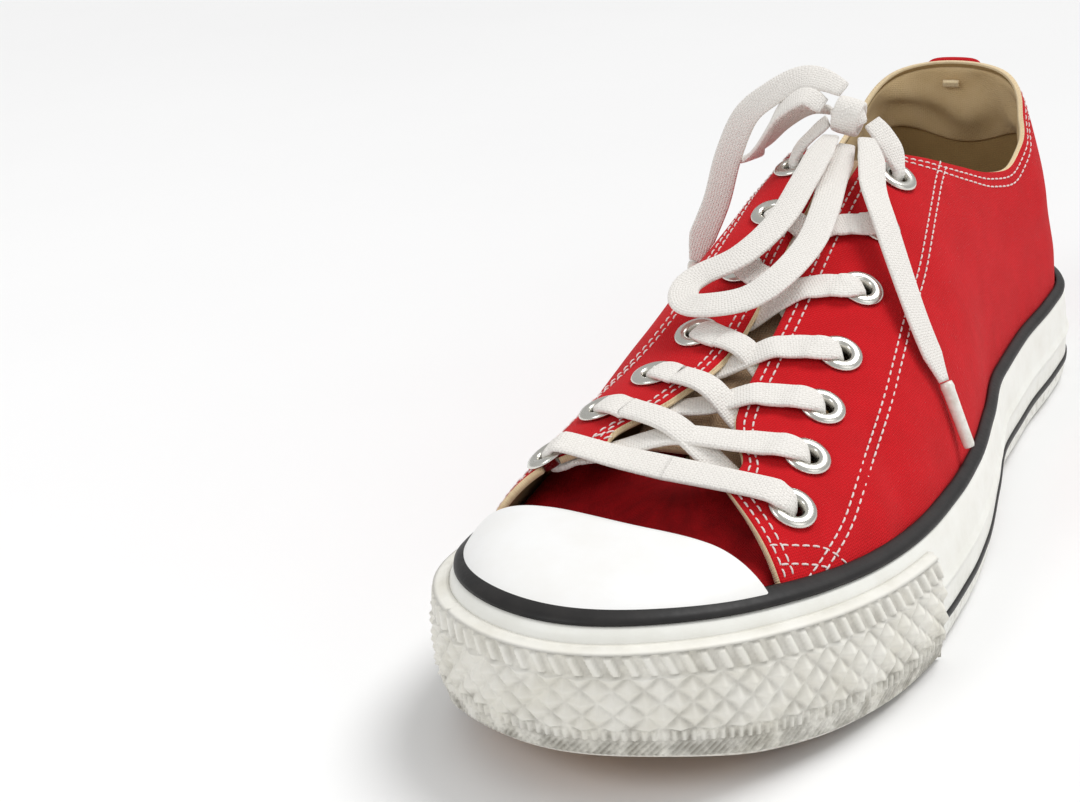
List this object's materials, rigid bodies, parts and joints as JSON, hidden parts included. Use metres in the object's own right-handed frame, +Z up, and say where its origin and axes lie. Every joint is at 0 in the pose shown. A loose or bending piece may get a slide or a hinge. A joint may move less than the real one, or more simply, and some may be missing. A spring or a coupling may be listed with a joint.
{
  "type": "low canvas sneaker",
  "caption": "Low laced canvas sneaker, left shoe: rubber toe cap, bumper and side band, metal eyelets, hollow upper open at the collar, tongue and tied lace.",
  "frame": {"origin": "on the floor, under the middle of the shoe's own box", "axes": "+Z up, the toe points along -Y, the outer (little toe) side faces +X"},
  "size_m": [0.1077, 0.3003, 0.114],
  "materials": {
    "red_canvas": "matt dyed cotton canvas",
    "natural_canvas": "undyed cotton canvas",
    "insole_cloth": "cloth-topped foam",
    "lace_cotton": "flat woven cotton",
    "band_rubber": "smooth white rubber",
    "bumper_rubber": "moulded off-white rubber",
    "cap_rubber": "smooth white rubber",
    "black_rubber": "smooth black rubber",
    "sole_rubber": "moulded tan rubber",
    "eyelet_metal": "bright pressed metal",
    "aglet_plastic": "clear film over white lace"
  },
  "bodies": {
    "root": {"outsole": "sole_rubber", "insole": "insole_cloth", "foxing": "band_rubber", "stripe_top": "black_rubber", "toe_bumper": "bumper_rubber", "upper": "red_canvas", "eyelet_outer_1": "eyelet_metal", "eyelet_inner_1": "eyelet_metal", "eyelet_outer_2": "eyelet_metal", "eyelet_inner_2": "eyelet_metal", "eyelet_outer_3": "eyelet_metal", "eyelet_inner_3": "eyelet_metal", "eyelet_outer_4": "eyelet_metal", "eyelet_inner_4": "eyelet_metal", "eyelet_outer_5": "eyelet_metal", "eyelet_inner_5": "eyelet_metal", "eyelet_outer_6": "eyelet_metal", "eyelet_inner_6": "eyelet_metal", "eyelet_outer_7": "eyelet_metal", "eyelet_inner_7": "eyelet_metal", "vent_eyelet_1": "eyelet_metal", "vent_eyelet_2": "eyelet_metal", "toe_cap": "cap_rubber", "heel_strip": "red_canvas", "tongue": "natural_canvas", "lace_crossings": "lace_cotton", "lace_knot": "lace_cotton", "lace_lead_outer": "lace_cotton", "lace_lead_inner": "lace_cotton", "lace_end_outer": "lace_cotton", "lace_end_inner": "lace_cotton", "lace_loop_1": "lace_cotton", "lace_loop_2": "lace_cotton", "aglet_outer": "aglet_plastic", "aglet_inner": "aglet_plastic"}
  },
  "joints": []
}
